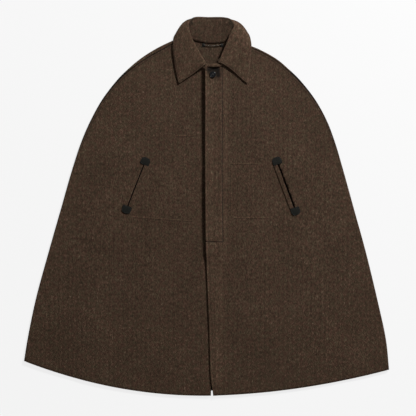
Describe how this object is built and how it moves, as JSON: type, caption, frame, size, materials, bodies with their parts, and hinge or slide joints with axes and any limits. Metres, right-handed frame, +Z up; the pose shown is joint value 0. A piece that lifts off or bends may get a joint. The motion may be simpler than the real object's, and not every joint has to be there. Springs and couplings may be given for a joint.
{
  "type": "wool cape coat laid flat",
  "caption": "Thigh-length wool cape coat with shirt collar, concealed front and arm slits, lying flat on its back",
  "frame": {"origin": "on the surface it lies on, at the middle of its width and length", "axes": "+Z up from the surface, +Y from hem to collar, +X towards the wearer's left"},
  "size_m": [1.021, 1.0595, 0.0185],
  "materials": {
    "wool": "brushed twill",
    "tab": "matte",
    "button": "polished",
    "chain": "satin"
  },
  "bodies": {
    "root": {"back": "wool", "front_right": "wool", "front_left": "wool", "fly": "wool", "collar": "wool", "welt_right": "wool", "welt_left": "wool", "tab_right_upper": "tab", "tab_right_lower": "tab", "tab_left_upper": "tab", "tab_left_lower": "tab", "button": "button", "hanger_chain": "chain", "hanger_end_right": "tab", "hanger_end_left": "tab"}
  },
  "joints": []
}
